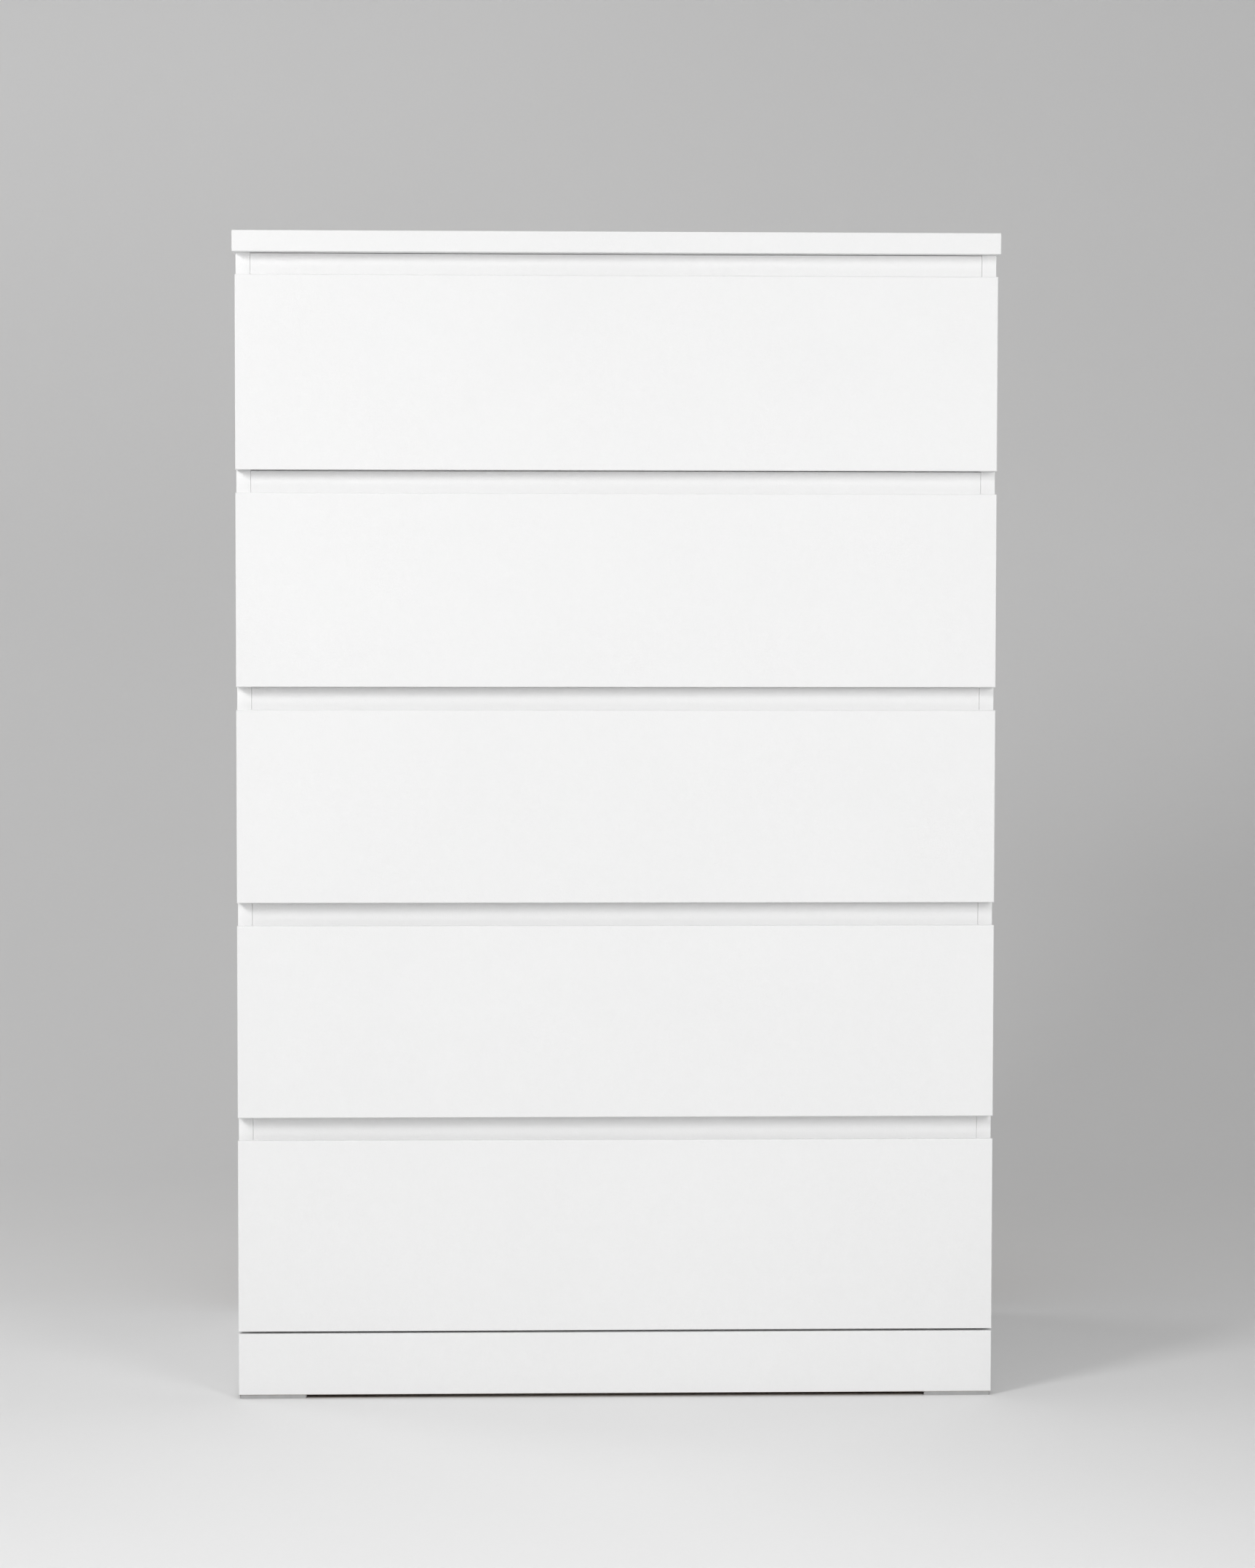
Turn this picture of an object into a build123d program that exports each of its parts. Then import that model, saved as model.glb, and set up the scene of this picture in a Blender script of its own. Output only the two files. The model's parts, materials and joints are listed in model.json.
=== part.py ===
from build123d import *
import os

# Tall chest of five drawers, in millimetres.
# Frame: +Z up, +X to the viewer's right, the front faces -Y.
# Origin: on the floor, at the centre of the chest's footprint.

# ---- driving dimensions -------------------------------------------------
WIDTH = 800.0                # over the top panel
DEPTH = 480.0                # over the top panel
DRAWER_COUNT = 5
SIDE_OVERHANG = 3.0          # top panel past the case, each side

TOP_THICKNESS = 22.0
CASE_BOARD = 15.0            # sides, base and grip rails
FACE_BOARD = 16.0            # drawer fronts and plinth
BACK_BOARD = 3.0             # hardboard back and drawer bottoms
DRAWER_BOARD = 12.0          # drawer sides and backs

FOOT_HEIGHT = 4.0
FOOT_WIDTH = 70.0
FOOT_DEPTH = 60.0
FOOT_INSET = 1.0             # pad's edge inside the case's outline
PLINTH_HEIGHT = 65.0
PLINTH_SLIT = 2.5            # between the plinth and the lowest front
FRONT_HEIGHT = 202.0
GRIP_GAP = 24.0              # between two drawer fronts
TOP_GRIP_GAP = 23.5          # under the top panel
CLOSING_GAP = 1.5            # between a shut front and the case
NAIL_HEAD_ROOM = 1.0         # back panel's face inside the top panel's rear edge

FACE_ROUND = 1.0             # rounded edges of the white boards
BEVEL_LIP = 5.0              # thickness left at a front's top edge
BEVEL_DROP = 20.0            # height of the finger bevel behind that edge
RAIL_HIDDEN = 26.0           # part of a grip rail behind the front below it
RAIL_DROP = 0.5              # rail's top below the bottom edge of the front above
RAIL_JOINT = 0.2             # joint line at each end of a rail

BOX_LIFT = 8.0               # drawer side's bottom edge above its front's
BOX_SIDE_HEIGHT = 158.0
BOX_LENGTH = 420.0
BOTTOM_LIFT = 8.0            # drawer bottom above its side's bottom edge
GROOVE_DEPTH = 5.0
GROOVE_PLAY = 0.2

RUNNER_SPACE = 12.5          # between a drawer side and the case side
RUNNER_LENGTH = 400.0
RUNNER_SETBACK = 2.5         # behind the case's front edge
STEEL = 1.2
CHANNEL_LIFT = 3.0           # runner channel's underside above the front's bottom edge
CHANNEL_HEIGHT = 19.0
CHANNEL_WIDTH = 10.0
ROLLER_RADIUS = 8.0
ROLLER_WIDTH = 6.0
ROLLER_GAP = 0.3             # running gap between a roller and its track
PIN_RADIUS = 3.0
BORE_PLAY = 0.05
COLLAR_RADIUS = 4.5
RIVET_HEIGHT = 0.8
END_PLAY = 0.2
FRONT_ROLLER_RISE = 14.5     # front roller's axle above the channel's underside
FRONT_ROLLER_SETBACK = 14.0
REAR_ROLLER_SETBACK = 12.0
CHANNEL_SETBACK = 30.0       # channel flanges start behind the front roller
LIP_DROP = 2.5
TRACK_EDGE = 1.8             # drawer runner's lip to the case's side
ROLLER_START = 3.6           # roller's outer face to the case's side
ROLLER_ROUND = 0.5
RUNNER_END = 2.0             # drawer runner's ends inside the case runner's
PAD_CORNER = 2.0

CAM_RADIUS = 7.5
CAM_DEPTH = 12.0
CAM_EDGE = 24.0              # cam's centre to the joint
BOLT_RADIUS = 3.0
BOLT_HEAD_RADIUS = 3.5
BOLT_REACH = 10.0            # thread in the board across the joint
CAM_SPREAD = 150.0           # cams front and back of the centre
CAM_SLOT = (8.0, 1.5, 3.0)   # length, width and depth of the screwdriver cross
CAM_MOUTH = 0.3              # room round the bolt's head in the cam
BOLT_HEAD = (0.5, 3.5)       # head's two ends from the cam's centre
CUT_OVERLAP = 1.0            # how far a cut runs past the face it opens

NAIL_HEAD_RADIUS = 2.5
NAIL_HEAD_HEIGHT = 0.8
NAIL_RADIUS = 0.8
NAIL_LENGTH = 18.0
NAIL_PITCH = 110.0
BACK_MARGIN = 2.0            # back panel's edge inside the case's outline

# ---- sizes worked out from them -----------------------------------------
CASE_HALF = WIDTH / 2 - SIDE_OVERHANG
INNER_HALF = CASE_HALF - CASE_BOARD
BOX_HALF = INNER_HALF - RUNNER_SPACE
BOX_INNER_HALF = BOX_HALF - DRAWER_BOARD

FACE_Y = -DEPTH / 2
FRONT_BACK_Y = FACE_Y + FACE_BOARD
CASE_FRONT_Y = FRONT_BACK_Y + CLOSING_GAP
REAR_Y = DEPTH / 2
BACK_FACE_Y = REAR_Y - NAIL_HEAD_ROOM
CASE_BACK_Y = BACK_FACE_Y - BACK_BOARD
BOX_BACK_Y = FRONT_BACK_Y + BOX_LENGTH
RUNNER_FRONT_Y = CASE_FRONT_Y + RUNNER_SETBACK
RUNNER_BACK_Y = RUNNER_FRONT_Y + RUNNER_LENGTH

PLINTH_TOP = FOOT_HEIGHT + PLINTH_HEIGHT
LOWEST_FRONT = PLINTH_TOP + PLINTH_SLIT
FRONT_PITCH = FRONT_HEIGHT + GRIP_GAP
HIGHEST_FRONT = LOWEST_FRONT + (DRAWER_COUNT - 1) * FRONT_PITCH
TOP_UNDERSIDE = HIGHEST_FRONT + FRONT_HEIGHT + TOP_GRIP_GAP
HEIGHT = TOP_UNDERSIDE + TOP_THICKNESS

LOW_END = (Align.CENTER, Align.CENTER, Align.MIN)
SIDES = {"left": -1, "right": 1}
DRAWERS = range(1, DRAWER_COUNT + 1)


def front_bottom(number):
    """Height of a front's bottom edge; drawer 1 is the top one."""
    return HIGHEST_FRONT - (number - 1) * FRONT_PITCH


def board(x, y, z):
    """A board between its low and high limits along each axis."""
    size = [high - low for low, high in (x, y, z)]
    middle = [(high + low) / 2 for low, high in (x, y, z)]
    return Pos(*middle) * Box(*size)


def edges_at(solid, axis, place):
    """Edges that lie in the plane square to an axis at one place."""
    return solid.edges().filter_by_position(axis, place - 0.01, place + 0.01)


def write(name, solids):
    """One STEP file per sub-part; several solids stay apart in one group."""
    shape = solids[0] if len(solids) == 1 else Compound(children=list(solids))
    shape.label = name
    export_step(shape, f"parts/{name}.step")


# ---- fasteners of the case ----------------------------------------------
def rail_span(number):
    """Bottom and top of the grip rail above one drawer's front."""
    front_top = front_bottom(number) + FRONT_HEIGHT
    gap = TOP_GRIP_GAP if number == 1 else GRIP_GAP
    return front_top - RAIL_HIDDEN, front_top + gap - RAIL_DROP


def cam_places():
    """Every cam joint: (board it sits in, frame with Z into the board and X towards the joint)."""
    places = []
    for y in (-CAM_SPREAD, CAM_SPREAD):
        for name, sign in SIDES.items():
            top_joint = Plane(
                origin=(sign * INNER_HALF, y, TOP_UNDERSIDE - CAM_EDGE),
                x_dir=(0, 0, 1),
                z_dir=(sign, 0, 0),
            )
            base_joint = Plane(
                origin=(sign * (INNER_HALF - CAM_EDGE), y, PLINTH_TOP - CASE_BOARD),
                x_dir=(sign, 0, 0),
                z_dir=(0, 0, 1),
            )
            places.append((f"side_panel_{name}", top_joint))
            places.append(("bottom_panel", base_joint))
    for number in DRAWERS:
        middle = sum(rail_span(number)) / 2
        for sign in SIDES.values():
            rail_joint = Plane(
                origin=(sign * (INNER_HALF - CAM_EDGE), CASE_FRONT_Y + CASE_BOARD, middle),
                x_dir=(sign, 0, 0),
                z_dir=(0, -1, 0),
            )
            places.append((f"grip_rail_{number}", rail_joint))
    return places


def along_bolt(frame, radius, start, end):
    """A cylinder on a cam bolt's line, at the middle of the board's thickness."""
    axis = Plane(
        origin=frame.origin + frame.z_dir * (CASE_BOARD / 2) + frame.x_dir * start,
        z_dir=frame.x_dir,
    )
    return axis * Cylinder(radius, end - start, align=LOW_END)


def cam_lock(frame):
    length, width, depth = CAM_SLOT
    cam = Cylinder(CAM_RADIUS - BORE_PLAY, CAM_DEPTH, align=LOW_END)
    cross = Box(length, width, 2 * depth) + Box(width, length, 2 * depth)
    mouth = along_bolt(frame, BOLT_HEAD_RADIUS + CAM_MOUTH, 0, CAM_RADIUS + CUT_OVERLAP)
    return frame * (cam - cross) - mouth


def cam_bolt(frame):
    head = along_bolt(frame, BOLT_HEAD_RADIUS, *BOLT_HEAD)
    return head + along_bolt(frame, BOLT_RADIUS, BOLT_HEAD[1], CAM_EDGE + BOLT_REACH)


def cam_cut(frame):
    """Pocket for the cam and the bolt's hole through to the joint."""
    pocket = frame * Cylinder(CAM_RADIUS, CAM_DEPTH, align=LOW_END)
    start = CAM_RADIUS - CUT_OVERLAP
    return pocket + along_bolt(frame, BOLT_RADIUS + BORE_PLAY, start, CAM_EDGE + CUT_OVERLAP)


def bolt_cut(frame):
    """Hole for the bolt's thread in the board across the joint."""
    end = CAM_EDGE + BOLT_REACH + CUT_OVERLAP
    return along_bolt(frame, BOLT_RADIUS + BORE_PLAY, CAM_EDGE - CUT_OVERLAP, end)


CAM_PLACES = cam_places()


def with_cams(name, solid):
    """A case board with the pockets of the cams that sit in it."""
    for owner, frame in CAM_PLACES:
        if owner == name:
            solid -= cam_cut(frame)
    return solid


def nail_places():
    """Points on the back panel's outer face, round the case's rear edges."""
    points = []
    steps = int((TOP_UNDERSIDE - PLINTH_TOP) // NAIL_PITCH)
    for sign in SIDES.values():
        for step in range(steps + 1):
            points.append((sign * (CASE_HALF - CASE_BOARD / 2), PLINTH_TOP + step * NAIL_PITCH))
    across = int(INNER_HALF // NAIL_PITCH)
    for step in range(-across, across + 1):
        points.append((step * NAIL_PITCH, PLINTH_TOP - CASE_BOARD / 2))
    return points


def nail(x, z):
    shank_plane = Plane(origin=(x, BACK_FACE_Y, z), z_dir=(0, -1, 0))
    head_plane = Plane(origin=(x, BACK_FACE_Y, z), z_dir=(0, 1, 0))
    head = head_plane * Cylinder(NAIL_HEAD_RADIUS, NAIL_HEAD_HEIGHT, align=LOW_END)
    return head + shank_plane * Cylinder(NAIL_RADIUS, NAIL_LENGTH, align=LOW_END)


def nail_cut(x, z):
    plane = Plane(origin=(x, REAR_Y, z), z_dir=(0, -1, 0))
    length = NAIL_LENGTH + NAIL_HEAD_ROOM + CUT_OVERLAP
    return plane * Cylinder(NAIL_RADIUS + BORE_PLAY, length, align=LOW_END)


def nailed(solid):
    limits = solid.bounding_box()
    for x, z in nail_places():
        if limits.min.X < x < limits.max.X and limits.min.Z < z < limits.max.Z:
            solid -= nail_cut(x, z)
    return solid


# ---- case ---------------------------------------------------------------
def top_panel():
    solid = board((-WIDTH / 2, WIDTH / 2), (FACE_Y, REAR_Y), (TOP_UNDERSIDE, HEIGHT))
    solid = fillet(solid.edges(), FACE_ROUND)
    for owner, frame in CAM_PLACES:
        if owner.startswith("side_panel"):
            solid -= bolt_cut(frame)
    return solid


def side_panel(name, sign):
    x = sorted((sign * INNER_HALF, sign * CASE_HALF))
    solid = board(x, (CASE_FRONT_Y, CASE_BACK_Y), (FOOT_HEIGHT, TOP_UNDERSIDE))
    solid = fillet(edges_at(solid, Axis.Y, CASE_FRONT_Y), FACE_ROUND / 2)
    solid = with_cams(f"side_panel_{name}", solid)
    for owner, frame in CAM_PLACES:
        if owner.startswith(("bottom_panel", "grip_rail")) and frame.origin.X * sign > 0:
            solid -= bolt_cut(frame)
    return nailed(solid)


def bottom_panel():
    z = (PLINTH_TOP - CASE_BOARD, PLINTH_TOP)
    solid = board((-INNER_HALF, INNER_HALF), (CASE_FRONT_Y, CASE_BACK_Y), z)
    return nailed(with_cams("bottom_panel", solid))


def back_panel():
    half = CASE_HALF - BACK_MARGIN
    z = (PLINTH_TOP - CASE_BOARD, TOP_UNDERSIDE)
    return nailed(board((-half, half), (CASE_BACK_Y, BACK_FACE_Y), z))


def plinth_board():
    solid = board(
        (-CASE_HALF, CASE_HALF),
        (CASE_FRONT_Y - FACE_BOARD, CASE_FRONT_Y),
        (FOOT_HEIGHT, PLINTH_TOP),
    )
    return fillet(edges_at(solid, Axis.Y, CASE_FRONT_Y - FACE_BOARD), FACE_ROUND)


def grip_rail(number):
    half = INNER_HALF - RAIL_JOINT
    solid = board((-half, half), (CASE_FRONT_Y, CASE_FRONT_Y + CASE_BOARD), rail_span(number))
    solid = fillet(edges_at(solid, Axis.Y, CASE_FRONT_Y), FACE_ROUND / 3)
    return with_cams(f"grip_rail_{number}", solid)


def foot_pads():
    pads = []
    x_middle = CASE_HALF - FOOT_INSET - FOOT_WIDTH / 2
    y_front = CASE_FRONT_Y - FACE_BOARD + FOOT_INSET + FOOT_DEPTH / 2
    y_back = CASE_BACK_Y - FOOT_INSET - FOOT_DEPTH / 2
    for x in (-x_middle, x_middle):
        for y in (y_front, y_back):
            pad = Pos(x, y, FOOT_HEIGHT / 2) * Box(FOOT_WIDTH, FOOT_DEPTH, FOOT_HEIGHT)
            pads.append(fillet(pad.edges().filter_by(Axis.Z), PAD_CORNER))
    return pads


# ---- runners ------------------------------------------------------------
# Across the runner space, u is the distance from the case's side panel.
ROLLER_U = (ROLLER_START, ROLLER_START + ROLLER_WIDTH)
COLLAR_U = (ROLLER_START - END_PLAY, ROLLER_START + ROLLER_WIDTH + END_PLAY)
FRONT_ROLLER_Y = RUNNER_FRONT_Y + FRONT_ROLLER_SETBACK
REAR_ROLLER_Y = RUNNER_BACK_Y - REAR_ROLLER_SETBACK


def strip(u, y, z):
    """A right-hand sheet-steel strip, placed by its distance from the side panel."""
    return board((INNER_HALF - u[1], INNER_HALF - u[0]), y, z)


def disc(u, y, z, radius):
    """A right-hand cylinder along X, placed by its distance from the side panel."""
    plane = Plane(origin=(INNER_HALF - u[1], y, z), z_dir=(1, 0, 0))
    return plane * Cylinder(radius, u[1] - u[0], align=LOW_END)


def front_roller_height(number):
    return front_bottom(number) + CHANNEL_LIFT + FRONT_ROLLER_RISE


def rear_roller_height(number):
    return front_bottom(number) + CHANNEL_LIFT + STEEL + ROLLER_GAP + ROLLER_RADIUS


def roller(y, z):
    wheel = disc(ROLLER_U, y, z, ROLLER_RADIUS)
    wheel = fillet(wheel.edges(), ROLLER_ROUND)
    return wheel - disc((0, RUNNER_SPACE), y, z, PIN_RADIUS + BORE_PLAY)


def case_runner(number):
    """Channel screwed to the side panel, with the front roller's pin."""
    low = front_bottom(number) + CHANNEL_LIFT
    high = low + CHANNEL_HEIGHT
    channel_y = (RUNNER_FRONT_Y + CHANNEL_SETBACK, RUNNER_BACK_Y)
    axle = front_roller_height(number)
    solid = strip((0, STEEL), (RUNNER_FRONT_Y, RUNNER_BACK_Y), (low, high))
    solid += strip((0, CHANNEL_WIDTH), (RUNNER_FRONT_Y, RUNNER_BACK_Y), (low, low + STEEL))
    solid += strip((0, CHANNEL_WIDTH), channel_y, (high - STEEL, high))
    solid += disc((STEEL, COLLAR_U[0]), FRONT_ROLLER_Y, axle, COLLAR_RADIUS)
    solid += disc((STEEL, COLLAR_U[1]), FRONT_ROLLER_Y, axle, PIN_RADIUS)
    solid += disc((COLLAR_U[1], COLLAR_U[1] + RIVET_HEIGHT), FRONT_ROLLER_Y, axle, COLLAR_RADIUS)
    return solid


def drawer_runner(number):
    """Angle under the drawer side, with the flange that rides on the front roller."""
    web_u = (RUNNER_SPACE - STEEL, RUNNER_SPACE)
    span_y = (FRONT_BACK_Y + RUNNER_END, RUNNER_BACK_Y - RUNNER_END)
    sole = front_bottom(number) + BOX_LIFT
    track = front_roller_height(number) + ROLLER_RADIUS + ROLLER_GAP
    axle = rear_roller_height(number)
    solid = strip(web_u, span_y, (sole - STEEL, track + STEEL))
    solid += strip((web_u[0], RUNNER_SPACE + DRAWER_BOARD), span_y, (sole - STEEL, sole))
    solid += strip((TRACK_EDGE, RUNNER_SPACE), span_y, (track, track + STEEL))
    solid += strip((TRACK_EDGE, TRACK_EDGE + STEEL), span_y, (track - LIP_DROP, track + STEEL))
    solid += disc((COLLAR_U[1], web_u[0]), REAR_ROLLER_Y, axle, COLLAR_RADIUS)
    solid += disc((COLLAR_U[0], web_u[0]), REAR_ROLLER_Y, axle, PIN_RADIUS)
    solid += disc((COLLAR_U[0] - RIVET_HEIGHT, COLLAR_U[0]), REAR_ROLLER_Y, axle, COLLAR_RADIUS)
    return solid


# ---- drawers ------------------------------------------------------------
def bottom_height(number):
    return front_bottom(number) + BOX_LIFT + BOTTOM_LIFT


def groove(number):
    """Room for the drawer bottom's edges in the front and the sides."""
    low = bottom_height(number)
    half = BOX_INNER_HALF + GROOVE_DEPTH
    return board(
        (-half, half),
        (FRONT_BACK_Y - GROOVE_DEPTH, BOX_BACK_Y + CUT_OVERLAP),
        (low, low + BACK_BOARD + GROOVE_PLAY),
    )


def drawer_front(number):
    """Overlay front with a bevel behind its top edge for the fingers."""
    low = front_bottom(number)
    high = low + FRONT_HEIGHT
    outline = Polyline(
        (FACE_Y, low),
        (FRONT_BACK_Y, low),
        (FRONT_BACK_Y, high - BEVEL_DROP),
        (FACE_Y + BEVEL_LIP, high),
        (FACE_Y, high),
        close=True,
    )
    profile = Plane.YZ.offset(-CASE_HALF) * make_face(outline)
    solid = extrude(profile, CASE_HALF * 2)
    solid = fillet(edges_at(solid, Axis.Y, FACE_Y), FACE_ROUND)
    return solid - groove(number)


def drawer_side(number, sign):
    low = front_bottom(number) + BOX_LIFT
    x = sorted((sign * BOX_INNER_HALF, sign * BOX_HALF))
    solid = board(x, (FRONT_BACK_Y, BOX_BACK_Y), (low, low + BOX_SIDE_HEIGHT))
    solid = fillet(edges_at(solid, Axis.Z, low + BOX_SIDE_HEIGHT).filter_by(Axis.Y), FACE_ROUND)
    return solid - groove(number)


def drawer_back(number):
    low = bottom_height(number) + BACK_BOARD
    high = front_bottom(number) + BOX_LIFT + BOX_SIDE_HEIGHT
    y = (BOX_BACK_Y - DRAWER_BOARD, BOX_BACK_Y)
    solid = board((-BOX_INNER_HALF, BOX_INNER_HALF), y, (low, high))
    return fillet(edges_at(solid, Axis.Z, high).filter_by(Axis.X), FACE_ROUND)


def drawer_bottom(number):
    low = bottom_height(number)
    half = BOX_INNER_HALF + GROOVE_DEPTH - GROOVE_PLAY
    return board(
        (-half, half),
        (FRONT_BACK_Y - GROOVE_DEPTH + GROOVE_PLAY, BOX_BACK_Y),
        (low, low + BACK_BOARD),
    )


# ---- every sub-part -----------------------------------------------------
def both_hands(solid):
    return [mirror(solid, Plane.YZ), solid]


def main():
    os.makedirs("parts", exist_ok=True)
    write("top_panel", [top_panel()])
    for name, sign in SIDES.items():
        write(f"side_panel_{name}", [side_panel(name, sign)])
    write("bottom_panel", [bottom_panel()])
    write("back_panel", [back_panel()])
    write("plinth_board", [plinth_board()])
    write("foot_pads", foot_pads())
    write("cam_locks", [cam_lock(frame) for _, frame in CAM_PLACES])
    write("cam_bolts", [cam_bolt(frame) for _, frame in CAM_PLACES])
    write("back_panel_nails", [nail(x, z) for x, z in nail_places()])
    for number in DRAWERS:
        write(f"grip_rail_{number}", [grip_rail(number)])
        write(f"case_runners_{number}", both_hands(case_runner(number)))
        write(f"case_rollers_{number}", both_hands(roller(FRONT_ROLLER_Y, front_roller_height(number))))
        write(f"drawer_{number}_front", [drawer_front(number)])
        for name, sign in SIDES.items():
            write(f"drawer_{number}_side_{name}", [drawer_side(number, sign)])
        write(f"drawer_{number}_back", [drawer_back(number)])
        write(f"drawer_{number}_bottom", [drawer_bottom(number)])
        write(f"drawer_{number}_runners", both_hands(drawer_runner(number)))
        write(f"drawer_{number}_rollers", both_hands(roller(REAR_ROLLER_Y, rear_roller_height(number))))


main()
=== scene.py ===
import json
import math
import bmesh
import bpy
from mathutils import Matrix, Vector


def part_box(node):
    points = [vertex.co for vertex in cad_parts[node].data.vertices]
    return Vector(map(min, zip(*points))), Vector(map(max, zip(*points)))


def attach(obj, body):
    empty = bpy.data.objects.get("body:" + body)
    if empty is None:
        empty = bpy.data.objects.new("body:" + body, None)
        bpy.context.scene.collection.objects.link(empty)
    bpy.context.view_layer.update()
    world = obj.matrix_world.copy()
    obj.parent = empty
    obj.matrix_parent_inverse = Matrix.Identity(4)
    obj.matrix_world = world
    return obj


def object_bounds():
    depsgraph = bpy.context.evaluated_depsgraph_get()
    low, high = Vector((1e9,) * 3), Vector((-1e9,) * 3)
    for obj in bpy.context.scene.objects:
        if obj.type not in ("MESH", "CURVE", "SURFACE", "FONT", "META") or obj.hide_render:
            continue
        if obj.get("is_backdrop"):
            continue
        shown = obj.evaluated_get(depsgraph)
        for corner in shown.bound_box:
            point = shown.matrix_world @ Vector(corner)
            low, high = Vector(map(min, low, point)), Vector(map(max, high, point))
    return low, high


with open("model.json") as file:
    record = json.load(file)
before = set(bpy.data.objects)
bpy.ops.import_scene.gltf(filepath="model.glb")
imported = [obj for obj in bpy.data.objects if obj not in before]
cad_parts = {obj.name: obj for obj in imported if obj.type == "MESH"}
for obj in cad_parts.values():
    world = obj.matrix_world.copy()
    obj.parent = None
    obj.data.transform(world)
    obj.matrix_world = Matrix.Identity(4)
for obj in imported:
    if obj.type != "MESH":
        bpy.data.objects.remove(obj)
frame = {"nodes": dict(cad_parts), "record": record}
CAD_LOW, CAD_HIGH = (Vector(corner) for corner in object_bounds())

MM = 0.001
DRAWERS = range(1, 6)

FRONT_WHITE = 0.87            # reflectance of the white foil
GAP_LIGHT_WHITE = 0.93             # painted light: the grip rails and the sides get a brighter white than the fronts, standing in for light in the gaps

# ---- details of the materials -------------------------------------------
SCREEN_WIRES = 620.0          # per metre, in the imprint on raw hardboard
BAND_THICKNESS = 1.4 * MM     # edge band's seam behind a front's face, clear of its rounding
SEAM_HALF_WIDTH = (0.08 * MM, 0.16 * MM)   # solid up to the first, gone at the second
BOARD_END = (0.90, 0.98)      # a normal's part along X, where a face counts as a board's end
FOOT_FACE = (-0.6, -0.8)      # a normal's part along Z, where a face counts as an underside
PRINTED_FACE = (0.4, 0.7)     # a normal's part along the printed side of hardboard
ROUNDED_PART = (0.86, 0.76)   # a normal's greatest part, from a flat face to a rounded edge
EDGE_DOT = (0.995, 0.80)      # a bevelled normal's agreement with the face, from flat to edge
EDGE_SAMPLES = 4
SCALE_PER_BAND = math.pi / 10     # a wave texture of scale 1 has 10 / pi bands in a metre
BAND_WAVER = 1.2

CHIP_DUST = (0.34, 0.24, 0.145, 1.0)
CHIP_WOOD = (0.52, 0.39, 0.25, 1.0)
CHIP_BINDER = (0.20, 0.13, 0.075, 1.0)
FIBRE_DARK = (0.24, 0.150, 0.083, 1.0)
FIBRE_PALE = (0.45, 0.31, 0.185, 1.0)
FIBRE_BLOTCH = (0.34, 0.225, 0.13, 1.0)
FIBRE_FLECK = (0.17, 0.10, 0.052, 1.0)
FIBRE_SCREEN = (0.22, 0.14, 0.08, 1.0)
ZINC_TINT = (0.56, 0.55, 0.50, 1.0)

# ---- runner screws ------------------------------------------------------
RUNNER_STEEL = 1.2 * MM       # thickness of the case's and the drawers' runners
CASE_SCREWS = (0.045, 0.200, 0.370)      # from a case runner's front end
DRAWER_SCREWS = (0.030, 0.200, 0.365)    # from a drawer runner's front end
CASE_SCREW_TURN = 0.7         # radians from one screw's cross to the next one's
DRAWER_SCREW_TURN = 1.1
SCREW_STEPS = 24
SCREW_RADIUS = 3.4 * MM
SCREW_HEIGHT = 0.9 * MM
SCREW_PROFILE = (             # parts of the radius and of the height, from the foot to the flat top
    (1.0, 0.0),
    (1.0, 0.25),
    (0.97, 0.45),
    (0.86, 0.74),
    (0.72, 0.93),
    (0.58, 1.0),
)
CROSS_MOUTH = (1.7 * MM, 0.42 * MM)      # reach and half width of the recess's arms
CROSS_FLOOR = (0.9 * MM, 0.25 * MM)
CROSS_DEPTH = 0.65 * MM

# ---- camera -------------------------------------------------------------
CAMERA_OFFSET = Vector((-0.125, -4.342, 0.872))   # from the origin, on the floor under the chest
CAMERA_YAW = -1.90            # degrees, to the viewer's right
CAMERA_PITCH = -3.12          # degrees, downwards
CAMERA_ROLL = -0.09
CAMERA_LENS = 90.17           # mm
CAMERA_SENSOR = 36.0          # mm, along the picture's long side
CAMERA_REACH = 50.0

# ---- studio -------------------------------------------------------------
ROOM_LOW = (-4.2, -6.5)       # the room's walls, seen from above
ROOM_HIGH = (4.2, 2.6)
ROOM_CORNER = 1.6             # the walls' rounding, seen from above
ROOM_HEIGHT = 4.8
COVE_RADIUS = 1.3             # the rounding between the floor and the walls
COVE_STEPS = 24
CORNER_STEPS = 16


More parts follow.
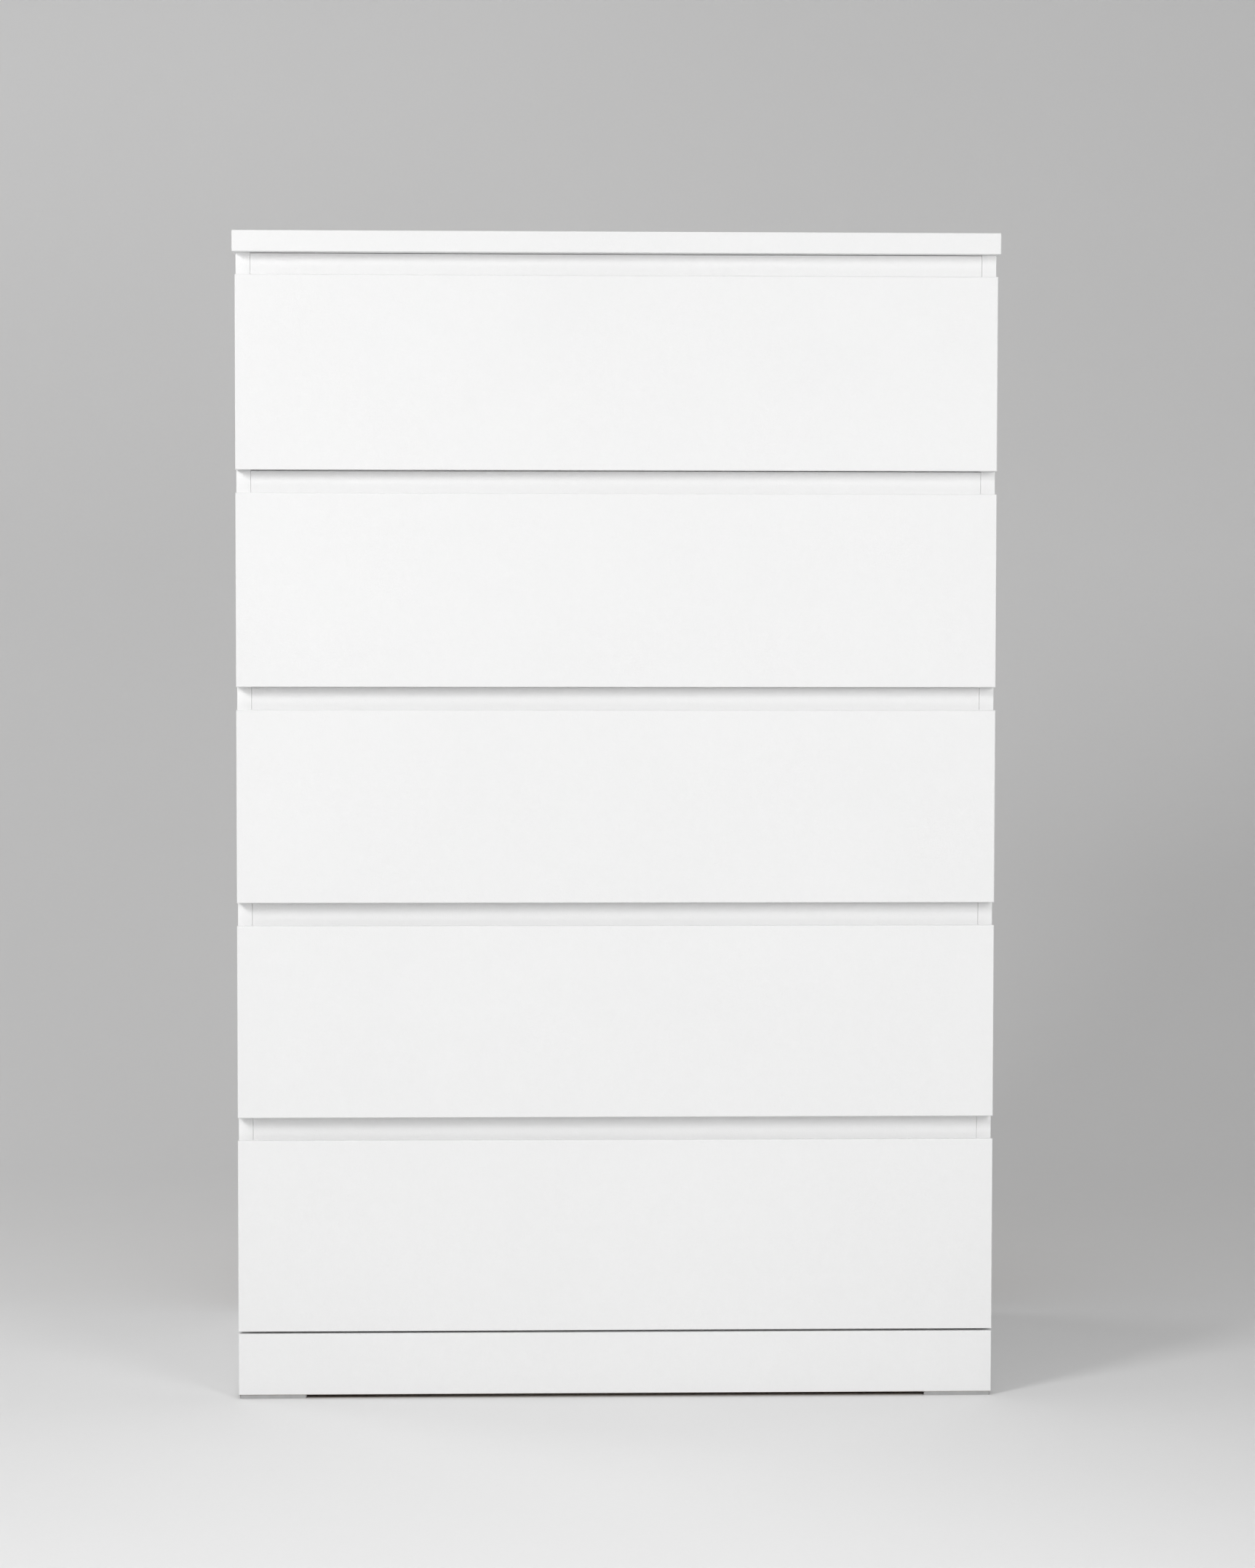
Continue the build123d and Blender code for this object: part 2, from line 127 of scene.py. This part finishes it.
class Graph:
    """A material's node tree, with short calls that hand back sockets."""

    def __init__(self, name):
        self.material = bpy.data.materials.new(name)
        self.material.use_nodes = True
        self.tree = self.material.node_tree
        self.tree.nodes.clear()
        self.output = self.tree.nodes.new("ShaderNodeOutputMaterial")
        self.shader = self.tree.nodes.new("ShaderNodeBsdfPrincipled")
        self.link(self.shader.outputs[0], self.output.inputs[0])
        self.place = self.tree.nodes.new("ShaderNodeTexCoord").outputs["Object"]

    def link(self, source, target):
        self.tree.links.new(source, target)

    def feed(self, socket, value):
        """Links a socket to a value that is a socket, and sets it to one that isn't."""
        if isinstance(value, bpy.types.NodeSocket):
            self.link(value, socket)
        else:
            socket.default_value = value

    def scaled(self, factors):
        """The object's own coordinates, stretched along each axis."""
        node = self.tree.nodes.new("ShaderNodeMapping")
        node.inputs["Scale"].default_value = factors
        self.link(self.place, node.inputs["Vector"])
        return node.outputs[0]

    def noise(self, per_metre, detail=2.0, roughness=0.5):
        """Soft noise, from 0 to 1, with a number of features in a metre."""
        node = self.tree.nodes.new("ShaderNodeTexNoise")
        node.inputs["Scale"].default_value = per_metre
        node.inputs["Detail"].default_value = detail
        node.inputs["Roughness"].default_value = roughness
        self.link(self.place, node.inputs["Vector"])
        return node.outputs["Fac"]

    def cells(self, per_metre, vector=None):
        """The distance to the nearest of a scatter of points, a number of them in a metre."""
        node = self.tree.nodes.new("ShaderNodeTexVoronoi")
        node.inputs["Scale"].default_value = per_metre
        self.link(vector or self.place, node.inputs["Vector"])
        return node.outputs["Distance"]

    def bands(self, axis, per_metre):
        """Slightly wavering parallel bands across one axis."""
        node = self.tree.nodes.new("ShaderNodeTexWave")
        node.bands_direction = axis
        node.inputs["Scale"].default_value = per_metre * SCALE_PER_BAND
        node.inputs["Distortion"].default_value = BAND_WAVER
        node.inputs["Detail"].default_value = 2.0
        self.link(self.place, node.inputs["Vector"])
        return node.outputs["Fac"]

    def maths(self, operation, first, second=0.0):
        node = self.tree.nodes.new("ShaderNodeMath")
        node.operation = operation
        self.feed(node.inputs[0], first)
        self.feed(node.inputs[1], second)
        return node.outputs[0]

    def spread(self, value, low, high, out_low=0.0, out_high=1.0):
        """A value's range from low to high, clamped, as out_low to out_high."""
        node = self.tree.nodes.new("ShaderNodeMapRange")
        self.link(value, node.inputs["Value"])
        for name, number in (
            ("From Min", low), ("From Max", high), ("To Min", out_low), ("To Max", out_high),
        ):
            node.inputs[name].default_value = number
        return node.outputs[0]

    def mottle(self, per_metre, detail=2.0, roughness=0.5, low=0.3, high=0.7, gives=(0.0, 1.0)):
        """Noise whose values from low to high are spread over the range that it gives."""
        return self.spread(self.noise(per_metre, detail, roughness), low, high, *gives)

    def colour_mix(self, factor, first, second):
        """The first colour where the factor is 0, and the second where it is 1."""
        node = self.tree.nodes.new("ShaderNodeMix")
        node.data_type = "RGBA"
        sockets = [s for s in node.inputs if s.type == "RGBA"]
        self.feed(node.inputs[0], factor)
        self.feed(sockets[0], first)
        self.feed(sockets[1], second)
        return [s for s in node.outputs if s.type == "RGBA"][0]

    def end_seam(self, y):
        """1 on a hairline at one depth of a front's ends, where the edge band meets the face's foil."""
        spot = self.tree.nodes.new("ShaderNodeSeparateXYZ")
        self.link(self.place, spot.inputs[0])
        apart = self.maths("ABSOLUTE", self.maths("SUBTRACT", spot.outputs["Y"], y))
        line = self.spread(apart, *SEAM_HALF_WIDTH, 1.0, 0.0)
        sideways = self.maths("ABSOLUTE", self.own_normal().outputs["X"])
        return self.maths("MULTIPLY", line, self.spread(sideways, *BOARD_END))

    def own_normal(self, absolute=False):
        """The piece's own normal, split into its parts along the axes."""
        normal = self.tree.nodes.new("ShaderNodeTexCoord").outputs["Normal"]
        if absolute:
            size = self.tree.nodes.new("ShaderNodeVectorMath")
            size.operation = "ABSOLUTE"
            self.link(normal, size.inputs[0])
            normal = size.outputs[0]
        split = self.tree.nodes.new("ShaderNodeSeparateXYZ")
        self.link(normal, split.inputs[0])
        return split

    def bump(self, height, depth, strength=1.0, under=None):
        """Raises the surface by height times depth, in metres."""
        node = self.tree.nodes.new("ShaderNodeBump")
        node.inputs["Distance"].default_value = depth
        node.inputs["Strength"].default_value = strength
        self.link(height, node.inputs["Height"])
        if under is not None:
            self.link(under, node.inputs["Normal"])
        return node.outputs[0]

    def edges(self, radius):
        """1 on the rounding of an edge, falling to 0 on flat faces."""
        bevel = self.tree.nodes.new("ShaderNodeBevel")
        bevel.samples = EDGE_SAMPLES
        bevel.inputs["Radius"].default_value = radius
        true = self.tree.nodes.new("ShaderNodeNewGeometry").outputs["True Normal"]
        dot = self.tree.nodes.new("ShaderNodeVectorMath")
        dot.operation = "DOT_PRODUCT"
        self.link(bevel.outputs[0], dot.inputs[0])
        self.link(true, dot.inputs[1])
        return self.spread(dot.outputs["Value"], *EDGE_DOT)

    def rounded(self):
        """1 on a board's rounded edges, which face between its axes, and 0 on its flat faces."""
        parts = self.own_normal(absolute=True).outputs
        most = self.maths("MAXIMUM", self.maths("MAXIMUM", parts["X"], parts["Y"]), parts["Z"])
        return self.spread(most, *ROUNDED_PART)

    def facing(self, axis, low, high):
        """0 to 1 as the piece's own normal, along one axis, goes from low to high."""
        return self.spread(self.own_normal().outputs[axis], low, high)

    def finish(self, colour, roughness, normal=None, **uniform):
        """Feeds the shader, and sets its other sockets, such as Coat_Weight, to plain numbers."""
        self.feed(self.shader.inputs["Base Color"], colour)
        self.feed(self.shader.inputs["Roughness"], roughness)
        if normal is not None:
            self.link(normal, self.shader.inputs["Normal"])
        for name, value in uniform.items():
            self.shader.inputs[name.replace("_", " ")].default_value = value
        return self.material


def grey(value, warm=0.0):
    """A grey, with a little more red and as much less blue where it is warm."""
    return (value + warm, value, value - warm, 1.0)


# ---- materials ----------------------------------------------------------
def chipboard(g):
    """Colour of raw particleboard: small chips of pale wood in a darker binder."""
    chips = g.cells(260.0, vector=g.scaled((1.0, 1.0, 2.2)))
    pale = g.colour_mix(g.mottle(700.0, detail=4.0, roughness=0.7), CHIP_DUST, CHIP_WOOD)
    return g.colour_mix(g.spread(chips, 0.25, 0.65), pale, CHIP_BINDER)


def white_board(name, value, raw_foot=False, banded_ends=False):
    """Matt white foil on particleboard: a fine pebble, hardly any sheen, and painted shade in mottled
    patches on its rounded edges.
    """
    g = Graph(name)
    clouds = g.mottle(2.2, detail=3.0, roughness=0.55, low=0.35, high=0.65)
    speckle = g.mottle(900.0, roughness=0.6, low=0.60, high=0.78, gives=(0.0, 0.35))
    tone = g.colour_mix(clouds, grey(value - 0.008), grey(value + 0.008))
    tone = g.colour_mix(speckle, tone, grey(value - 0.06, warm=0.004))
    # painted shade: the rounded edges are darkened, in mottled patches
    edge_shade_patches = g.mottle(35.0, detail=3.0, low=0.35, gives=(0.1, 0.5))
    tone = g.colour_mix(g.maths("MULTIPLY", g.rounded(), edge_shade_patches), tone, grey(value - 0.09, warm=0.008))
    roughness = g.mottle(14.0, detail=4.0, roughness=0.6, gives=(0.42, 0.52))
    if raw_foot:
        under = g.facing("Z", *FOOT_FACE)
        tone = g.colour_mix(under, tone, chipboard(g))
        roughness = g.colour_mix(under, roughness, grey(0.85))
    pebble = g.bump(g.cells(900.0), depth=0.16 * MM, strength=0.7)
    peel = g.bump(g.noise(260.0), depth=0.16 * MM, strength=0.7, under=pebble)
    relief = g.bump(g.noise(50.0), depth=0.10 * MM, strength=0.5, under=peel)
    if banded_ends:
        seam = g.end_seam(CAD_LOW.y + BAND_THICKNESS)
        tone = g.colour_mix(g.maths("MULTIPLY", seam, 0.55), tone, grey(value - 0.30, warm=0.012))
        relief = g.bump(g.maths("SUBTRACT", 1.0, seam), depth=0.06 * MM, strength=0.8, under=relief)
    return g.finish(tone, roughness, relief, IOR=1.46, Specular_IOR_Level=0.38)


def drawer_foil():
    """Thin white foil of the drawer boxes, a touch greyer and smoother than the fronts."""
    g = Graph("drawer_foil")
    tone = g.colour_mix(g.mottle(5.0, detail=3.0), grey(0.84, warm=0.004), grey(0.87, warm=0.004))
    # painted shade: the rounded edges are darkened
    tone = g.colour_mix(g.maths("MULTIPLY", g.rounded(), 0.4), tone, grey(0.78, warm=0.010))
    roughness = g.mottle(20.0, detail=3.0, roughness=0.6, gives=(0.34, 0.44))
    pebble = g.bump(g.noise(1100.0), depth=0.015 * MM, strength=0.5)
    return g.finish(tone, roughness, pebble, IOR=1.46, Specular_IOR_Level=0.42)


def hardboard(name, face_axis, face_sign, weave_axes):
    """Hardboard, printed white on one face, and raw brown with a wire screen's imprint on the other."""
    g = Graph(name)
    printed = g.facing(face_axis, *(face_sign * part for part in PRINTED_FACE))
    raw = g.maths("SUBTRACT", 1.0, printed)
    fibres = g.noise(900.0, detail=6.0, roughness=0.75)
    blotches = g.noise(30.0, detail=5.0, roughness=0.65)
    flecks = g.spread(g.cells(420.0), 0.10, 0.24, 0.7, 0.0)
    mesh = g.maths("MAXIMUM", *(g.bands(axis, SCREEN_WIRES) for axis in weave_axes))
    brown = g.colour_mix(g.spread(fibres, 0.3, 0.7), FIBRE_DARK, FIBRE_PALE)
    brown = g.colour_mix(g.spread(blotches, 0.35, 0.7, 0.0, 0.5), brown, FIBRE_BLOTCH)
    brown = g.colour_mix(flecks, brown, FIBRE_FLECK)
    brown = g.colour_mix(g.spread(mesh, 0.55, 0.95, 0.0, 0.25), brown, FIBRE_SCREEN)
    white = g.colour_mix(g.spread(blotches, 0.3, 0.7), grey(0.82, warm=0.006), grey(0.86, warm=0.006))
    tone = g.colour_mix(printed, brown, white)
    roughness = g.colour_mix(printed, grey(0.78), grey(0.45))
    hollows = g.maths("MULTIPLY", g.maths("SUBTRACT", 1.0, mesh), raw)
    weave = g.bump(hollows, depth=0.30 * MM, strength=0.7)
    grain = g.bump(fibres, depth=0.10 * MM, strength=0.5, under=weave)
    return g.finish(tone, roughness, grain, IOR=1.45)


def runner_enamel():
    """White epoxy powder coat on folded steel, rubbed thin along its edges."""
    g = Graph("runner_enamel")
    tone = g.colour_mix(g.mottle(40.0, detail=3.0), grey(0.80), grey(0.85))
    worn = g.maths("MULTIPLY", g.edges(0.5 * MM), g.mottle(160.0, detail=3.0, low=0.45))
    tone = g.colour_mix(worn, tone, grey(0.42))
    roughness = g.mottle(60.0, detail=3.0, gives=(0.28, 0.40))
    peel = g.bump(g.noise(420.0), depth=0.05 * MM, strength=0.5)
    return g.finish(tone, roughness, peel, IOR=1.5, Coat_Weight=0.25, Coat_Roughness=0.25)


def roller_nylon():
    """Moulded nylon, faintly translucent, with a fine moulded skin."""
    g = Graph("roller_nylon")
    tone = g.colour_mix(g.mottle(300.0, detail=3.0), grey(0.70, warm=0.02), grey(0.78, warm=0.02))
    roughness = g.mottle(500.0, gives=(0.30, 0.48))
    skin = g.bump(g.noise(1500.0), depth=0.02 * MM, strength=0.5)
    return g.finish(tone, roughness, skin, IOR=1.53, Subsurface_Weight=0.15, Subsurface_Scale=0.002)


def cast_zinc():
    """Die-cast zinc of the cam locks, dull and finely pitted."""
    g = Graph("cam_metal")
    tone = g.colour_mix(g.mottle(600.0, detail=4.0, roughness=0.6), grey(0.42), grey(0.58))
    roughness = g.mottle(350.0, detail=3.0, gives=(0.35, 0.55))
    pits = g.bump(g.cells(1500.0), depth=0.05 * MM, strength=0.4)
    return g.finish(tone, roughness, pits, Metallic=1.0)


def plated_steel():
    """Plated steel of the cam bolts and nails."""
    g = Graph("bolt_steel")
    tone = g.colour_mix(g.mottle(250.0, detail=4.0), grey(0.52, warm=0.01), grey(0.66))
    roughness = g.mottle(700.0, detail=3.0, gives=(0.22, 0.42))
    dents = g.bump(g.noise(900.0), depth=0.03 * MM, strength=0.4)
    return g.finish(tone, roughness, dents, Metallic=1.0)


def screw_steel():
    """Bright zinc-plated screws."""
    g = Graph("screw_steel")
    tone = g.colour_mix(g.mottle(500.0, detail=4.0), ZINC_TINT, grey(0.70))
    tone = g.colour_mix(g.maths("MULTIPLY", g.edges(0.3 * MM), 0.6), tone, grey(0.82))
    roughness = g.mottle(1200.0, detail=3.0, gives=(0.20, 0.38))
    dents = g.bump(g.noise(1600.0), depth=0.02 * MM, strength=0.4)
    return g.finish(tone, roughness, dents, Metallic=1.0)


def foot_plastic():
    """Matt grey plastic of the foot pads, with a moulded grain."""
    g = Graph("foot_plastic")
    tone = g.colour_mix(g.mottle(80.0, detail=4.0, roughness=0.6), grey(0.375), grey(0.435))
    tone = g.colour_mix(g.maths("MULTIPLY", g.edges(0.6 * MM), 0.4), tone, grey(0.48))
    roughness = g.mottle(150.0, detail=3.0, gives=(0.55, 0.72))
    grain = g.bump(g.cells(1800.0), depth=0.06 * MM, strength=0.6)
    return g.finish(tone, roughness, grain, IOR=1.49)


def studio_paper():
    """Seamless pale paper. Seen from outside the room it is clear, so that it never hides the chest."""
    g = Graph("studio_paper")
    tone = g.colour_mix(g.mottle(0.8, detail=3.0), grey(0.77), grey(0.79))
    tone = g.colour_mix(g.mottle(220.0, detail=3.0, low=0.4, gives=(0.0, 0.15)), tone, grey(0.74))
    roughness = g.mottle(30.0, detail=3.0, gives=(0.75, 0.88))
    tooth = g.bump(g.noise(700.0, detail=3.0), depth=0.03 * MM, strength=0.4)
    material = g.finish(tone, roughness, tooth, Specular_IOR_Level=0.2)
    outside = g.tree.nodes.new("ShaderNodeNewGeometry").outputs["Backfacing"]
    clear = g.tree.nodes.new("ShaderNodeBsdfTransparent")
    either = g.tree.nodes.new("ShaderNodeMixShader")
    g.link(outside, either.inputs[0])
    g.link(g.shader.outputs[0], either.inputs[1])
    g.link(clear.outputs[0], either.inputs[2])
    g.link(either.outputs[0], g.output.inputs[0])
    return material


def painted(piece, material):
    """Gives a piece one material in place of any that it has."""
    piece.data.materials.clear()
    piece.data.materials.append(material)


def paint_nodes():
    """Gives every CAD node its material: by slot, and by name where one slot's boards differ."""
    by_slot = {
        "white_board": white_board("white_board", FRONT_WHITE),
        "drawer_foil": drawer_foil(),
        "drawer_hardboard": hardboard("drawer_hardboard", "Z", 1, "XY"),
        "back_hardboard": hardboard("back_hardboard", "Y", -1, "XZ"),
        "foot_plastic": foot_plastic(),
        "runner_enamel": runner_enamel(),
        "roller_nylon": roller_nylon(),
        "cam_metal": cast_zinc(),
        "bolt_steel": plated_steel(),
    }
    # the rails' and sides' brighter white is painted light in the gaps between the fronts
    rail = white_board("rail_board", GAP_LIGHT_WHITE)
    front = white_board("front_board", FRONT_WHITE, banded_ends=True)
    side = white_board("side_board", GAP_LIGHT_WHITE, raw_foot=True)
    plinth = white_board("plinth_board", FRONT_WHITE, raw_foot=True)
    slots = {row["node"]: row["material_slot"] for row in frame["record"]["subparts"]}
    for name, piece in frame["nodes"].items():
        if name.startswith("grip_rail"):
            painted(piece, rail)
        elif name.startswith("side_panel"):
            painted(piece, side)
        elif name == "plinth_board":
            painted(piece, plinth)
        elif name.endswith("_front"):
            painted(piece, front)
        else:
            painted(piece, by_slot[slots[name]])


# ---- building the studio ------------------------------------------------
def room_outline(inset, height):
    """The room's rounded plan, drawn in from the walls, anticlockwise from above."""
    radius = ROOM_CORNER - inset
    centres = (
        (ROOM_HIGH[0] - ROOM_CORNER, ROOM_HIGH[1] - ROOM_CORNER),
        (ROOM_LOW[0] + ROOM_CORNER, ROOM_HIGH[1] - ROOM_CORNER),
        (ROOM_LOW[0] + ROOM_CORNER, ROOM_LOW[1] + ROOM_CORNER),
        (ROOM_HIGH[0] - ROOM_CORNER, ROOM_LOW[1] + ROOM_CORNER),
    )
    points = []
    for quarter, (x, y) in enumerate(centres):
        for step in range(CORNER_STEPS + 1):
            angle = math.pi / 2 * (quarter + step / CORNER_STEPS)
            points.append((x + radius * math.cos(angle), y + radius * math.sin(angle), height))
    return points


def studio_room(material):
    """The floor and the walls around it, in one seamless sheet that faces inwards."""
    rings = []
    for step in range(COVE_STEPS + 1):
        angle = math.pi / 2 * step / COVE_STEPS
        inset = COVE_RADIUS * (1 - math.sin(angle))
        rings.append(room_outline(inset, COVE_RADIUS * (1 - math.cos(angle))))
    rings.append(room_outline(0.0, ROOM_HEIGHT))
    shape = bmesh.new()
    loops = [[shape.verts.new(point) for point in ring] for ring in rings]
    shape.faces.new(loops[0])
    for lower, upper in zip(loops, loops[1:]):
        for here in range(len(lower)):
            after = (here + 1) % len(lower)
            shape.faces.new((lower[here], upper[here], upper[after], lower[after]))
    for face in shape.faces:
        face.smooth = True
    mesh = bpy.data.meshes.new("studio_room")
    shape.to_mesh(mesh)
    shape.free()
    mesh.materials.append(material)
    room = bpy.data.objects.new("studio_room", mesh)
    bpy.context.scene.collection.objects.link(room)
    room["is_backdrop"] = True


def softbox(name, place, aim, size, power, spread):
    """A rectangular area light that points at a spot."""
    light = bpy.data.lights.new(name, "AREA")
    light.shape = "RECTANGLE"
    light.size, light.size_y = size
    light.energy = power
    light.spread = math.radians(spread)
    lamp = bpy.data.objects.new(name, light)
    lamp.location = place
    direction = Vector(aim) - Vector(place)
    lamp.rotation_euler = direction.to_track_quat("-Z", "Y").to_euler()
    lamp.visible_camera = False
    bpy.context.scene.collection.objects.link(lamp)


SOFTBOXES = {
    # name: (place, aim, (width, height), watts, degrees of spread)
    "key_left": ((-1.9, -2.4, 2.0), (0.0, -0.2, 0.7), (0.8, 0.8), 43.4, 180),
    "fill_right_near": ((1.1, -2.4, 1.2), (0.0, -0.2, 0.7), (0.8, 0.8), 15.9, 180),
    "fill_right_low": ((1.9, -2.4, 1.3), (0.0, -0.2, 0.7), (0.8, 0.8), 4.2, 180),
    "fill_right": ((1.9, -2.4, 2.0), (0.0, -0.2, 0.7), (0.8, 0.8), 2.7, 180),
    "over_front": ((-1.4, -1.9, 3.4), (-0.9, -1.3, 0.0), (1.8, 1.2), 7.0, 180),
    "over_middle": ((0.0, -0.2, 4.0), (0.0, 0.2, 0.0), (3.0, 1.2), 15.8, 180),
    "rear_left": ((-2.4, 1.2, 2.6), (0.0, 0.2, 0.6), (1.2, 1.2), 14.3, 180),
    "rear_right": ((2.4, 1.2, 2.6), (0.0, 0.2, 0.6), (1.2, 1.2), 5.8, 180),
    "floor_pool": ((-0.2, -1.5, 3.2), (-0.2, -1.2, 0.0), (1.0, 0.6), 1.15, 60),
    "low_front": ((0.0, -2.2, 0.5), (0.0, -0.3, 0.1), (1.4, 0.3), 0.09, 60),
    "side_left": ((-3.2, -0.4, 1.3), (0.0, 0.0, 0.7), (0.8, 1.2), 0.33, 60),
    "side_right": ((3.2, -0.4, 1.3), (0.0, 0.0, 0.7), (0.8, 1.2), 0.3, 60),
    "wall_glow": ((0.0, 0.9, 2.6), (0.0, 2.6, 1.1), (0.8, 0.6), 0.23, 100),
}
WORLD_STRENGTH = 0.173


def lights():
    """The softboxes, and a faint even light from all round."""
    for name, (place, aim, size, power, spread) in SOFTBOXES.items():
        softbox(name, place, aim, size, power, spread)
    world = bpy.data.worlds.new("studio")
    world.use_nodes = True
    background = world.node_tree.nodes["Background"]
    background.inputs["Color"].default_value = grey(1.0)
    background.inputs["Strength"].default_value = WORLD_STRENGTH
    bpy.context.scene.world = world


def camera():
    """The photograph's viewpoint, solved from the chest's straight edges."""
    data = bpy.data.cameras.new("camera")
    data.lens = CAMERA_LENS
    data.sensor_width = CAMERA_SENSOR
    data.clip_end = CAMERA_REACH
    eye = bpy.data.objects.new("camera", data)
    turn = Matrix.Rotation(math.radians(CAMERA_YAW), 3, "Z")
    tilt = Matrix.Rotation(math.radians(CAMERA_PITCH), 3, "X")
    roll = Matrix.Rotation(math.radians(CAMERA_ROLL), 3, "Y")
    level = Matrix.Rotation(math.radians(90), 3, "X")
    eye.rotation_euler = (turn @ tilt @ roll @ level).to_euler()
    eye.location = CAMERA_OFFSET
    bpy.context.scene.collection.objects.link(eye)
    bpy.context.scene.camera = eye


# ---- building the screws ------------------------------------------------
def lathe_rings(shape, place):
    """Rings of corners round +Z, one for each row of the screw's profile, through a placing matrix."""
    rings = []
    for radius_part, height_part in SCREW_PROFILE:
        radius, height = radius_part * SCREW_RADIUS, height_part * SCREW_HEIGHT
        ring = []
        for step in range(SCREW_STEPS):
            angle = 2 * math.pi * step / SCREW_STEPS
            point = Vector((radius * math.cos(angle), radius * math.sin(angle), height))
            ring.append(shape.verts.new(place @ point))
        rings.append(ring)
    return rings


def join_rings(shape, lower, upper):
    """A band of smooth faces between two rings of corners."""
    count = len(lower)
    for here in range(count):
        after = (here + 1) % count
        shape.faces.new((lower[here], lower[after], upper[after], upper[here])).smooth = True


def cross_outline(arm, half):
    """A screwdriver cross, anticlockwise: arms reach out to arm and are twice half wide."""
    corner = ((arm, -half), (arm, half), (half, half))
    points = []
    for quarter in range(4):
        turn = Matrix.Rotation(math.pi / 2 * quarter, 2)
        points += [turn @ Vector(point) for point in corner]
    return points


def screw_head(shape, place):
    """A low domed screw head that stands on z = 0, with a tapered cross recess and a flat underside."""
    rings = lathe_rings(shape, place)
    for lower, upper in zip(rings, rings[1:]):
        join_rings(shape, lower, upper)
    shape.faces.new(reversed(rings[0]))
    mouth, floor = (
        [shape.verts.new(place @ Vector((x, y, height))) for x, y in cross_outline(*size)]
        for size, height in ((CROSS_MOUTH, SCREW_HEIGHT), (CROSS_FLOOR, SCREW_HEIGHT - CROSS_DEPTH))
    )
    count = len(mouth)
    for here in range(count):
        after = (here + 1) % count
        shape.faces.new((mouth[here], mouth[after], floor[after], floor[here]))
    shape.faces.new(floor)
    top = rings[-1]
    rim = [shape.edges.get((top[n], top[(n + 1) % SCREW_STEPS])) for n in range(SCREW_STEPS)]
    lip = [shape.edges.get((mouth[n], mouth[(n + 1) % count])) for n in range(count)]
    outward = place.to_3x3() @ Vector((0, 0, 1))
    bmesh.ops.triangle_fill(shape, use_beauty=True, edges=rim + lip, normal=outward)


def screws(name, body, places, material):
    """One piece with a screw head at each placing matrix."""
    shape = bmesh.new()
    for place in places:
        screw_head(shape, place)
    bmesh.ops.recalc_face_normals(shape, faces=shape.faces)
    mesh = bpy.data.meshes.new(name)
    shape.to_mesh(mesh)
    shape.free()
    piece = bpy.data.objects.new(name, mesh)
    painted(piece, material)
    bpy.context.scene.collection.objects.link(piece)
    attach(piece, body)


def standing_at(point, outward, turn):
    """Places a screw at a point, its axis along outward and its cross turned by an angle."""
    aim = Vector(outward).to_track_quat("Z", "Y").to_matrix().to_4x4()
    return Matrix.Translation(point) @ aim @ Matrix.Rotation(turn, 4, "Z")


def runner_screws(number, material):
    """Screws that hold a pair of case runners to the sides, and a pair of drawer runners to the drawer."""
    low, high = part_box(f"case_runners_{number}")
    web = high[0] - RUNNER_STEEL
    height = (low[2] + high[2]) / 2
    places = []
    for side in (-1, 1):
        for index, setback in enumerate(CASE_SCREWS):
            turn = CASE_SCREW_TURN * index + side
            places.append(standing_at((side * web, low[1] + setback, height), (-side, 0, 0), turn))
    screws(f"case_runner_screws_{number}", "case", places, material)
    low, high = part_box(f"drawer_{number}_runners")
    side_low, side_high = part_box(f"drawer_{number}_side_right")
    across = (side_low[0] + side_high[0]) / 2
    sole = side_low[2] - RUNNER_STEEL
    places = []
    for side in (-1, 1):
        for index, setback in enumerate(DRAWER_SCREWS):
            turn = DRAWER_SCREW_TURN * index + side
            places.append(standing_at((side * across, low[1] + setback, sole), (0, 0, -1), turn))
    screws(f"drawer_{number}_runner_screws", f"drawer_{number}", places, material)


def main():
    """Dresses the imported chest, adds its screws and sets the studio around it."""
    paint_nodes()
    steel = screw_steel()
    for number in DRAWERS:
        runner_screws(number, steel)
    studio_room(studio_paper())
    lights()
    camera()
    bpy.context.scene.view_settings.view_transform = "Standard"


main()
